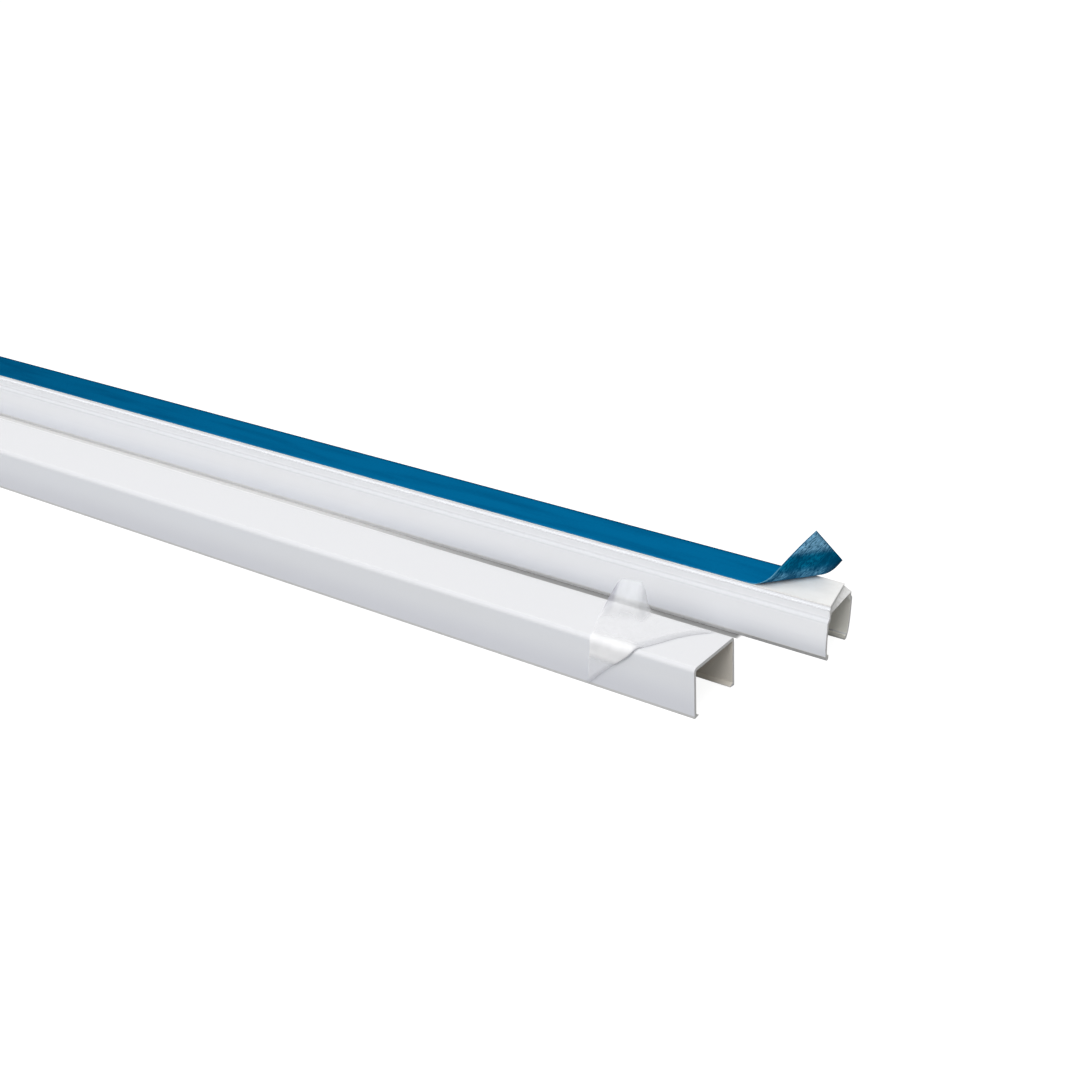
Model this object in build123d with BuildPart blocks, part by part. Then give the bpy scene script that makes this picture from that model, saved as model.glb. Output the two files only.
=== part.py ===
from build123d import *
from math import atan2, cos, degrees, radians, sin, tan
import os

# Cord cover raceway: a length of two-piece plastic trunking, lying with both
# channels open side down and the clip-on cover taken off and laid in front.
# X runs along the stock towards the near, cut end, Y from front to back, Z up.
# All sizes are in millimetres and all angles in degrees.

STOCK_LENGTH = 400.0

# Clip-on cover, an inverted U with a barb along the foot of each wall
COVER_WIDTH = 22.5
COVER_HEIGHT = 15.4
COVER_WALL = 1.0
COVER_CORNER_RADIUS = 1.4
COVER_INNER_RADIUS = 0.6
COVER_FOOT_FLAT = 0.5
BARB_REACH = 1.4
BARB_TIP_RISE = 0.3
BARB_CATCH_HEIGHT = 0.8
COVER_SAW_LEAN = 3.4
COVER_SAW_SKEW = 1.4

# Base channel, which the cover clips over
BASE_HEIGHT = 17.6
BASE_WALL = 1.2
PLATFORM_WIDTH = 16.0
PLATFORM_STEP = 0.9
PLATFORM_EDGE_RADIUS = 0.2
SHOULDER_RADIUS = 0.25
LEDGE_RADIUS = 0.9
WEB_CORNER_RADIUS = 0.6
BULGE_CLEARANCE = 0.25
NECK_CLEARANCE = 0.1
LATCH_CLEARANCE = 0.1
BULGE_BOTTOM = 7.5
FOOT_WIDTH = 15.8
FOOT_CHAMFER_HEIGHT = 1.8
FOOT_CHAMFER_DEPTH = 1.25
FOOT_EDGE_RADIUS = 0.15
LIP_HEIGHT = 1.4
LIP_REACH = 1.2

# Adhesive strip on the platform and the release liner over it
STRIP_MARGIN = 0.05
ADHESIVE_THICKNESS = 0.35
LINER_THICKNESS = 0.2
LINER_OVERHANG = 0.4

# Peeled end of the liner, rolled up about a line that crosses the strip
PEEL_LENGTH = 26.5
PEEL_DIRECTION = 50.3
PEEL_RADIUS = 4.1
PEEL_TURN = 80.3
PEEL_STEPS = 12

# Clear protective film round the cover, and how far it is peeled back from the near end
FILM_THICKNESS = 0.1
FILM_FOOT_MARGIN = 0.6
FILM_PEEL_FOOT = 34.7
FILM_PEEL_RIDGE = 19.6
FILM_PEEL_BACK = 5.0

# Hand-sawn near end of the base, out of square in plan and more so above the web's underside
SAW_SKEW_TOP = 9.5
SAW_SKEW_BOTTOM = 2.7
SAW_OVERRUN = 3.0

# Where the pieces lie
CHANNEL_GAP = 25.05
BASE_AHEAD = 16.8

# Half sections that follow from the sizes above
cover_half = COVER_WIDTH / 2
cover_inside_half = cover_half - COVER_WALL
cover_inside_height = COVER_HEIGHT - COVER_WALL
barb_tip_half = cover_inside_half - BARB_REACH
barb_root_height = BARB_TIP_RISE + BARB_CATCH_HEIGHT
bulge_half = cover_inside_half - BULGE_CLEARANCE
neck_half = barb_tip_half - NECK_CLEARANCE
platform_half = PLATFORM_WIDTH / 2
shoulder_height = BASE_HEIGHT - PLATFORM_STEP
web_underside = shoulder_height - BASE_WALL
neck_bottom = cover_inside_height - BARB_TIP_RISE - LATCH_CLEARANCE
ledge_width = bulge_half - neck_half
ledge_bottom = neck_bottom - ledge_width * BARB_CATCH_HEIGHT / BARB_REACH
ledge_turn = degrees(atan2(ledge_width, neck_bottom - ledge_bottom))
ledge_drop = BASE_WALL * tan(radians(ledge_turn / 2))
foot_half = FOOT_WIDTH / 2
wall_foot_half = foot_half + FOOT_CHAMFER_DEPTH
wall_foot_inside = wall_foot_half - BASE_WALL
lip_half = wall_foot_inside - LIP_REACH
strip_half = platform_half - STRIP_MARGIN
strip_width = 2 * strip_half

# The peel's own directions: along the roll's axis, and away from it on the flat
peel_axis = Vector(cos(radians(PEEL_DIRECTION)), sin(radians(PEEL_DIRECTION)), 0)
peel_away = Vector(sin(radians(PEEL_DIRECTION)), -cos(radians(PEEL_DIRECTION)), 0)
roll_length = PEEL_RADIUS * radians(PEEL_TURN)
roll_span = strip_width / sin(radians(PEEL_DIRECTION))
roll_shift = 1 / tan(radians(PEEL_DIRECTION))


def flat_to_peel(distance, across):
    """Turn a point of the flat strip, from the peel's start, to away and axis distances."""
    point = Vector(distance, across, 0)
    return point.dot(peel_away), point.dot(peel_axis)


def peel_tangent(turn):
    """Give the direction in which the rolled liner runs after a turn in degrees."""
    return peel_away * cos(radians(turn)) + Vector(0, 0, sin(radians(turn)))


def peel_point(away, along):
    """Give the place on the peeled liner's middle surface, from the peel's start."""
    turn = min(away / PEEL_RADIUS, radians(PEEL_TURN))
    rise = PEEL_RADIUS * (1 - cos(turn))
    rolled = peel_away * (PEEL_RADIUS * sin(turn)) + Vector(0, 0, rise)
    straight = peel_tangent(degrees(turn)) * (away - PEEL_RADIUS * turn)
    return rolled + straight + peel_axis * along


peel_end_front = flat_to_peel(PEEL_LENGTH, 0)
peel_end_back = flat_to_peel(PEEL_LENGTH - strip_width * tan(radians(SAW_SKEW_TOP)), strip_width)

# Places, with the middle of the whole object's floor area at the origin
base_middle_depth = COVER_WIDTH + CHANNEL_GAP + bulge_half
strip_front_depth = base_middle_depth - strip_half
flap_depth = strip_front_depth + peel_point(*peel_end_back).Y
overall_depth = FILM_THICKNESS + max(base_middle_depth + bulge_half, flap_depth)
overall_length = STOCK_LENGTH + BASE_AHEAD
front_face = FILM_THICKNESS - overall_depth / 2
cover_middle = front_face + cover_half
base_middle = front_face + base_middle_depth
strip_front = front_face + strip_front_depth
cover_far_end = -overall_length / 2
cover_near_end = cover_far_end + STOCK_LENGTH
base_far_end = cover_far_end + BASE_AHEAD
base_near_end = base_far_end + STOCK_LENGTH
liner_height = BASE_HEIGHT + ADHESIVE_THICKNESS + LINER_THICKNESS / 2
peel_start = Vector(base_near_end + LINER_OVERHANG - PEEL_LENGTH, strip_front, liner_height)


def section_plane(far_end, middle):
    """Place a section's sketch at a channel's far end, looking along the stock."""
    return Plane(origin=(far_end, middle, 0), x_dir=(0, 1, 0), z_dir=(1, 0, 0))


def corners(sketch, half_width, height):
    """Pick the section's two corners at a half width and a height."""
    tolerance = 1e-4
    return sketch.vertices().filter_by(
        lambda corner: abs(abs(corner.X) - half_width) < tolerance
        and abs(corner.Y - height) < tolerance
    )


# Clip-on cover
with BuildPart() as cover_channel:
    with BuildSketch(section_plane(cover_far_end, cover_middle)) as cover_section:
        with BuildLine():
            Polyline(
                (cover_half, COVER_HEIGHT),
                (cover_half, 0),
                (cover_half - COVER_FOOT_FLAT, 0),
                (barb_tip_half, BARB_TIP_RISE),
                (cover_inside_half, barb_root_height),
                (cover_inside_half, cover_inside_height),
            )
            mirror(about=Plane.YZ)
            Line((-cover_half, COVER_HEIGHT), (cover_half, COVER_HEIGHT))
            Line((-cover_inside_half, cover_inside_height), (cover_inside_half, cover_inside_height))
        make_face()
        fillet(corners(cover_section, cover_half, COVER_HEIGHT), COVER_CORNER_RADIUS)
        fillet(corners(cover_section, cover_inside_half, cover_inside_height), COVER_INNER_RADIUS)
        fillet(corners(cover_section, cover_half, 0), FOOT_EDGE_RADIUS)
    extrude(amount=STOCK_LENGTH + SAW_OVERRUN / 2)
    sawn_end = Plane(
        origin=(cover_near_end, front_face, 0),
        z_dir=(1, -tan(radians(COVER_SAW_SKEW)), tan(radians(COVER_SAW_LEAN))),
    )
    split(bisect_by=sawn_end, keep=Keep.BOTTOM)
cover_channel.part.label = "cover_channel"

# What the saw takes off the base's near end: the skew grows through the web's thickness
saw_outlines = (
    (0, SAW_SKEW_BOTTOM),
    (web_underside, SAW_SKEW_BOTTOM),
    (shoulder_height, SAW_SKEW_TOP),
    (BASE_HEIGHT + SAW_OVERRUN, SAW_SKEW_TOP),
)
with BuildPart() as saw_waste:
    for height, skew in saw_outlines:
        with BuildSketch(Plane.XY.offset(height)):
            with BuildLine():
                front = base_middle - bulge_half
                back = base_middle + bulge_half
                slope = tan(radians(skew))
                front_cut = base_near_end + slope * SAW_OVERRUN
                back_cut = base_near_end - slope * (back - front + SAW_OVERRUN)
                Polyline(
                    (front_cut, front - SAW_OVERRUN),
                    (base_near_end + SAW_OVERRUN, front - SAW_OVERRUN),
                    (base_near_end + SAW_OVERRUN, back + SAW_OVERRUN),
                    (back_cut, back + SAW_OVERRUN),
                    close=True,
                )
            make_face()
    loft(ruled=True)

# Base channel
with BuildPart() as base_channel:
    with BuildSketch(section_plane(base_far_end, base_middle)) as base_section:
        with BuildLine():
            Polyline(
                (platform_half, BASE_HEIGHT),
                (platform_half, shoulder_height),
                (neck_half, shoulder_height),
                (neck_half, neck_bottom),
                (bulge_half, ledge_bottom),
                (bulge_half, BULGE_BOTTOM),
            )
            TangentArc(
                (bulge_half, BULGE_BOTTOM),
                (wall_foot_half, FOOT_CHAMFER_HEIGHT),
                tangent=(0, -1),
            )
            Polyline(
                (wall_foot_half, FOOT_CHAMFER_HEIGHT),
                (foot_half, 0),
                (lip_half, 0),
                (lip_half, LIP_HEIGHT),
                (wall_foot_inside, LIP_HEIGHT),
            )
            TangentArc(
                (bulge_half - BASE_WALL, BULGE_BOTTOM),
                (wall_foot_inside, LIP_HEIGHT),
                tangent=(0, -1),
            )
            Polyline(
                (bulge_half - BASE_WALL, BULGE_BOTTOM),
                (bulge_half - BASE_WALL, ledge_bottom - ledge_drop),
                (neck_half - BASE_WALL, neck_bottom - ledge_drop),
                (neck_half - BASE_WALL, web_underside),
            )
            mirror(about=Plane.YZ)
            Line((-platform_half, BASE_HEIGHT), (platform_half, BASE_HEIGHT))
            Line((BASE_WALL - neck_half, web_underside), (neck_half - BASE_WALL, web_underside))
        make_face()
        fillet(corners(base_section, platform_half, BASE_HEIGHT), PLATFORM_EDGE_RADIUS)
        fillet(corners(base_section, neck_half, shoulder_height), SHOULDER_RADIUS)
        fillet(corners(base_section, neck_half, neck_bottom), LEDGE_RADIUS)
        fillet(corners(base_section, bulge_half, ledge_bottom), LEDGE_RADIUS)
        fillet(corners(base_section, foot_half, 0), FOOT_EDGE_RADIUS)
        fillet(corners(base_section, neck_half - BASE_WALL, web_underside), WEB_CORNER_RADIUS)
    extrude(amount=STOCK_LENGTH + SAW_OVERRUN / 2)
    add(saw_waste.part, mode=Mode.SUBTRACT)
base_channel.part.label = "base_channel"

# Adhesive strip, sawn off with the base
with BuildPart() as adhesive_strip:
    with BuildSketch(Plane.XY.offset(BASE_HEIGHT)):
        with Locations((base_far_end, strip_front)):
            Rectangle(STOCK_LENGTH + SAW_OVERRUN / 2, strip_width, align=(Align.MIN, Align.MIN))
    extrude(amount=ADHESIVE_THICKNESS)
    add(saw_waste.part, mode=Mode.SUBTRACT)
adhesive_strip.part.label = "adhesive_strip"

# Release liner: flat up to the peel's start, then rolled up, then flat to its cut end
with BuildPart() as release_liner:
    with BuildSketch(Plane.XY.offset(liner_height)):
        with BuildLine():
            peel_slant = strip_width * roll_shift
            Polyline(
                (base_far_end, strip_front),
                (peel_start.X, strip_front),
                (peel_start.X + peel_slant, strip_front + strip_width),
                (base_far_end, strip_front + strip_width),
                close=True,
            )
        make_face()
    extrude(amount=LINER_THICKNESS / 2, both=True)
    for step in range(PEEL_STEPS + 1):
        turn = PEEL_TURN * step / PEEL_STEPS
        away = PEEL_RADIUS * radians(turn)
        middle = peel_start + peel_point(away, away * roll_shift + roll_span / 2)
        with BuildSketch(Plane(origin=middle, x_dir=peel_axis, z_dir=peel_tangent(turn))):
            Rectangle(roll_span, LINER_THICKNESS)
    loft(ruled=True)
    flap_run = peel_tangent(PEEL_TURN)
    flap_plane = Plane(
        origin=peel_start + peel_point(roll_length, 0),
        x_dir=flap_run,
        z_dir=flap_run.cross(peel_axis),
    )
    with BuildSketch(flap_plane):
        with BuildLine():
            Polyline(
                (0, roll_length * roll_shift),
                (peel_end_front[0] - roll_length, peel_end_front[1]),
                (peel_end_back[0] - roll_length, peel_end_back[1]),
                (0, roll_length * roll_shift + roll_span),
                close=True,
            )
        make_face()
    extrude(amount=LINER_THICKNESS / 2, both=True)
release_liner.part.label = "release_liner"

# Protective film on the cover's front, top and back, peeled back along a slanting line
with BuildPart() as protective_film:
    with BuildSketch(section_plane(cover_far_end, cover_middle)):
        with BuildLine():
            FilletPolyline(
                (-cover_half, FILM_FOOT_MARGIN),
                (-cover_half, COVER_HEIGHT),
                (cover_half, COVER_HEIGHT),
                (cover_half, FILM_FOOT_MARGIN),
                radius=COVER_CORNER_RADIUS,
            )
            offset(amount=FILM_THICKNESS, side=Side.LEFT)
        make_face()
    extrude(amount=STOCK_LENGTH)
    peel_foot = Vector(cover_near_end - FILM_PEEL_FOOT, front_face, 0)
    peel_ridge = Vector(cover_near_end - FILM_PEEL_RIDGE, front_face, COVER_HEIGHT)
    peel_back = Vector(cover_near_end - FILM_PEEL_BACK, front_face + COVER_WIDTH, COVER_HEIGHT)
    peeled_side = (peel_ridge - peel_foot).cross(peel_back - peel_ridge)
    split(bisect_by=Plane(origin=peel_ridge, z_dir=peeled_side), keep=Keep.TOP)
protective_film.part.label = "protective_film"

os.makedirs("parts", exist_ok=True)
export_step(cover_channel.part, "parts/cover_channel.step")
export_step(base_channel.part, "parts/base_channel.step")
export_step(adhesive_strip.part, "parts/adhesive_strip.step")
export_step(release_liner.part, "parts/release_liner.step")
export_step(protective_film.part, "parts/protective_film.step")
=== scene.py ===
"""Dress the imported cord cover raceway: white channels, tape, blue liner and clear film."""

import logging
import math
from dataclasses import dataclass, field
from enum import Enum
from typing import Any, Callable

import bmesh
import bpy
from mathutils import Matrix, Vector


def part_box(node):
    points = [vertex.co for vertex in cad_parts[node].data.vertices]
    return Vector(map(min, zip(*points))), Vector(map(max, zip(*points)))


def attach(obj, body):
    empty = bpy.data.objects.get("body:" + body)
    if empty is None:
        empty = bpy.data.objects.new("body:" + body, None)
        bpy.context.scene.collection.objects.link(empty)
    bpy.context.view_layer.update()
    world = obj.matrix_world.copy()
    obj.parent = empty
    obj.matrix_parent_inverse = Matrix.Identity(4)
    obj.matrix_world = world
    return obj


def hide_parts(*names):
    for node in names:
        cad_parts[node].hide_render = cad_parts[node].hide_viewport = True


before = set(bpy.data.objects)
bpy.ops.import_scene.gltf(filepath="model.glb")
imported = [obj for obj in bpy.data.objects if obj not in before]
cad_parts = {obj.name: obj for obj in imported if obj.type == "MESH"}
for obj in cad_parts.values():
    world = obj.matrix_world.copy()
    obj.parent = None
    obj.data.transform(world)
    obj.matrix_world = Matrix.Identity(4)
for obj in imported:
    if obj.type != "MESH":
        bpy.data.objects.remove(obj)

log = logging.getLogger("raceway")

MM = 0.001
ROOT_BODY = "root"
SHEET_MAP = "sheet"
CUT_TOLERANCE = 1e-5
PATTERN_MEAN = 0.5
MIX_FIRST, MIX_SECOND, MIX_RESULT = 6, 7, 2
X, Y, Z = range(3)

Colour = tuple[float, float, float]
Scale = tuple[float, float, float]
Span = tuple[float, float]


def smooth(value: float, span: Span) -> float:
    """Rise smoothly from 0 to 1 over a span.

    Args:
        value: The value.
        span: The values that give 0 and 1, of which the first may be the larger.

    Returns:
        The smooth step.
    """
    start, end = span
    share = min(max((value - start) / (end - start), 0.0), 1.0)
    return share * share * (3.0 - 2.0 * share)


def bell(value: float, middle: float, spread: float) -> float:
    """Give 1 at the middle and fall off to both sides of it."""
    return math.exp(-(((value - middle) / spread) ** 2))


@dataclass(frozen=True)
class Box:
    """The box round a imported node, in millimetres."""

    low: tuple[float, ...]
    high: tuple[float, ...]

    @classmethod
    def of(cls, node: str) -> "Box":
        """Read a node's box from the frame, to a thousandth of a millimetre."""
        low, high = (tuple(round(place / MM, 3) for place in corner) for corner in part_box(node))
        return cls(low, high)

    def size(self, axis: int) -> float:
        """Give the box's size along an axis."""
        return self.high[axis] - self.low[axis]

    def middle(self, axis: int) -> float:
        """Give the box's middle along an axis."""
        return (self.high[axis] + self.low[axis]) / 2


@dataclass(frozen=True)
class Layout:
    """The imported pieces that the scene's own sheets follow, in millimetres."""

    base: Box = field(default_factory=lambda: Box.of("base_channel"))
    tape: Box = field(default_factory=lambda: Box.of("adhesive_strip"))
    cover: Box = field(default_factory=lambda: Box.of("cover_channel"))
    stock_length: float = 400.0
    cover_radius: float = 1.4

    @property
    def cover_near_end(self) -> float:
        """The cover's near end at its front foot, where the slanting saw cut starts."""
        return self.cover.low[X] + self.stock_length

    @property
    def cover_wall(self) -> float:
        """The flat height of the cover's wall, below its rounded corner."""
        return self.cover.high[Z] - self.cover_radius

    @property
    def cover_arc(self) -> float:
        """The length of the cover's rounded corner."""
        return self.cover_radius * math.pi / 2

    @property
    def cover_top(self) -> float:
        """The flat width of the cover's top, between its rounded corners."""
        return self.cover.size(Y) - 2 * self.cover_radius


class Level:
    """A number-valued socket, whose maths is written as Python expressions."""

    def __init__(self, graph: "Graph", socket: bpy.types.NodeSocket) -> None:
        """Wrap a socket.

        Args:
            graph: The node graph that the socket belongs to.
            socket: The output socket that gives the value.
        """
        self.graph = graph
        self.socket = socket

    def _maths(self, operation: str, first: Any, second: Any, clamp: bool = False) -> "Level":
        """Add one Math node.

        Args:
            operation: The node's operation.
            first: Its first value, a Level or a number.
            second: Its second value, a Level or a number.
            clamp: Whether the result is held between 0 and 1.

        Returns:
            The result as another Level.
        """
        settings = {"operation": operation, "use_clamp": clamp}
        node = self.graph.node("ShaderNodeMath", settings, {0: first, 1: second})
        return Level(self.graph, node.outputs[0])

    def __add__(self, other: Any) -> "Level":
        """Add a value."""
        return self._maths("ADD", self, other)

    def __radd__(self, other: Any) -> "Level":
        """Add this to a number."""
        return self._maths("ADD", other, self)

    def __sub__(self, other: Any) -> "Level":
        """Take a value off."""
        return self._maths("SUBTRACT", self, other)

    def __rsub__(self, other: Any) -> "Level":
        """Take this off a number."""
        return self._maths("SUBTRACT", other, self)

    def __mul__(self, other: Any) -> "Level":
        """Multiply by a value."""
        return self._maths("MULTIPLY", self, other)

    def __rmul__(self, other: Any) -> "Level":
        """Multiply a number by this."""
        return self._maths("MULTIPLY", other, self)

    def size(self) -> "Level":
        """Give the value without its sign."""
        return self._maths("ABSOLUTE", self, 0.0)

    def clamped(self) -> "Level":
        """Hold the value between 0 and 1."""
        return self._maths("ADD", self, 0.0, clamp=True)

    def larger(self, other: Any) -> "Level":
        """Give the larger of this and another value."""
        return self._maths("MAXIMUM", self, other)

    def swing(self, share: Any) -> "Level":
        """Let a pattern vary about 0, by a share of its strength."""
        return (self - PATTERN_MEAN) * share

    def ramp(self, low: float, high: float) -> "Level":
        """Rise smoothly from 0 at one value to 1 at another.

        Args:
            low: The value that gives 0.
            high: The value that gives 1, which may be the smaller of the two.

        Returns:
            The smooth step.
        """
        settings = {"interpolation_type": "SMOOTHSTEP"}
        ends = {"From Min": low, "From Max": high, "To Min": 0.0, "To Max": 1.0}
        node = self.graph.node("ShaderNodeMapRange", settings, {"Value": self, **ends})
        return Level(self.graph, node.outputs[0])

    def over(self, span: Span) -> "Level":
        """Rise smoothly from 0 to 1 over a span in millimetres."""
        return self.ramp(span[0] * MM, span[1] * MM)

    def between(self, rise: Span, fall: Span) -> "Level":
        """Be 1 between two spans in millimetres, and 0 outside them."""
        return self.over(rise) * self.over(fall)


class Graph:
    """The node graph of a material or a world while it is put together."""

    def __init__(self, holder: bpy.types.Material | bpy.types.World, output: str) -> None:
        """Clear the holder's nodes and add its output.

        Args:
            holder: The material or world.
            output: The type of its output node.
        """
        holder.use_nodes = True
        self.tree = holder.node_tree
        self.tree.nodes.clear()
        self.output = self.node(output)

    def link(self, source: bpy.types.NodeSocket, target: bpy.types.NodeSocket) -> None:
        """Join an output socket to an input socket."""
        self.tree.links.new(source, target)

    def node(
        self,
        kind: str,
        settings: dict[str, Any] | None = None,
        sockets: dict[Any, Any] | None = None,
    ) -> bpy.types.Node:
        """Add a node of any kind.

        Args:
            kind: The node's type.
            settings: Its own settings, set first.
            sockets: Values, Levels or output sockets for its inputs, by name or number.

        Returns:
            The node.
        """
        made = self.tree.nodes.new(kind)
        for key, value in (settings or {}).items():
            setattr(made, key, value)
        for key, value in (sockets or {}).items():
            self.feed(made.inputs[key], value)
        return made

    def feed(self, socket: bpy.types.NodeSocket, value: Any) -> None:
        """Give an input socket its link or its constant.

        Args:
            socket: The input.
            value: A Level, an output socket, a number or a colour.
        """
        if isinstance(value, Level):
            self.link(value.socket, socket)
        elif isinstance(value, bpy.types.NodeSocket):
            self.link(value, socket)
        elif socket.type == "RGBA":
            socket.default_value = (*value, 1.0)
        else:
            socket.default_value = value

    def seen(self) -> Level:
        """Tell what the camera or a reflection shows from what only lights the scene.

        Returns:
            1 where the surface itself is shown, and 0 for its light.
        """
        path = self.node("ShaderNodeLightPath").outputs
        direct = Level(self, path["Is Camera Ray"])
        return direct.larger(Level(self, path["Is Glossy Ray"]))


class Bench(Graph):
    """One material while its nodes are put together."""

    def __init__(self, name: str) -> None:
        """Start a material with a Principled shader.

        Args:
            name: The material's name.
        """
        self.material = bpy.data.materials.new(name)
        super().__init__(self.material, "ShaderNodeOutputMaterial")
        self.shader = self.node("ShaderNodeBsdfPrincipled")
        self.link(self.shader.outputs[0], self.output.inputs["Surface"])

    def place(self) -> bpy.types.NodeSocket:
        """Give the point's place in the frame, from the object's own coordinates."""
        return self.node("ShaderNodeTexCoord").outputs["Object"]

    def sheet(self) -> bpy.types.NodeSocket:
        """Give the point's place on the flat sheet that the surface is bent from."""
        return self.node("ShaderNodeUVMap", {"uv_map": SHEET_MAP}).outputs[0]

    def axes(self, vector: bpy.types.NodeSocket) -> tuple[Level, ...]:
        """Split a vector into its three numbers."""
        parts = self.node("ShaderNodeSeparateXYZ", None, {0: vector})
        return tuple(Level(self, out) for out in parts.outputs[:3])

    def noise(
        self,
        vector: bpy.types.NodeSocket,
        scale: float,
        detail: float = 3.0,
        roughness: float = 0.5,
    ) -> Level:
        """Add a noise pattern.

        Args:
            vector: The coordinates that it follows.
            scale: Its size, as repeats in a unit of the coordinates.
            detail: Its number of finer layers.
            roughness: How strong the finer layers are.

        Returns:
            The pattern, about 0.5 on average.
        """
        sockets = {"Vector": vector, "Scale": scale, "Detail": detail, "Roughness": roughness}
        return Level(self, self.node("ShaderNodeTexNoise", None, sockets).outputs[0])

    def grain(
        self,
        vector: bpy.types.NodeSocket,
        scale: Scale,
        detail: float = 3.0,
        roughness: float = 0.5,
    ) -> Level:
        """Add a noise pattern with a different size along each axis.

        Args:
            vector: The coordinates that it follows.
            scale: Its repeats in a unit of the coordinates, along each axis.
            detail: Its number of finer layers.
            roughness: How strong the finer layers are.

        Returns:
            The pattern, about 0.5 on average.
        """
        stretched = self.node("ShaderNodeMapping", None, {0: vector, "Scale": scale})
        return self.noise(stretched.outputs[0], 1.0, detail, roughness)

    def blend(self, share: Level, first: Any, second: Any) -> bpy.types.NodeSocket:
        """Mix two colours.

        Args:
            share: How much of the second colour shows.
            first: The first colour, or a colour socket.
            second: The second colour, or a colour socket.

        Returns:
            The mixed colour's socket.
        """
        sockets = {0: share, MIX_FIRST: first, MIX_SECOND: second}
        mix = self.node("ShaderNodeMix", {"data_type": "RGBA"}, sockets)
        return mix.outputs[MIX_RESULT]

    def relief(self, height: Level, depth: float) -> None:
        """Bump the surface.

        Args:
            height: The relief, from 0 to 1.
            depth: Its depth in metres.
        """
        bump = self.node("ShaderNodeBump", None, {"Height": height, "Distance": depth})
        self.link(bump.outputs[0], self.shader.inputs["Normal"])

    def shade(self, **sockets: Any) -> bpy.types.Material:
        """Feed the shader's own sockets.

        Args:
            **sockets: Their values, by name, with underscores for spaces.

        Returns:
            The material.
        """
        for name, value in sockets.items():
            self.feed(self.shader.inputs[name.replace("_", " ")], value)
        return self.material


@dataclass(frozen=True)
class Hollow:
    """The open space inside a channel, where the plastic is painted warmer for the light bounced
    inside, in millimetres.
    """

    half_width: float
    floor: float
    ceiling: float
    reach: Span = (0.5, 0.1)
    foot_blur: float = 0.2

    def mask(self, aside: Level, height: Level) -> Level:
        """Mask the faces round the hollow.

        Args:
            aside: The distance from the channel's middle, in metres.
            height: The height above the floor, in metres.

        Returns:
            The mask.
        """
        start, end = self.reach
        wide = aside.over((self.half_width + start, self.half_width + end))
        foot = height.over((self.floor - self.foot_blur, self.floor + self.foot_blur))
        return wide * foot * height.over((self.ceiling + start, self.ceiling + end))


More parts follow.
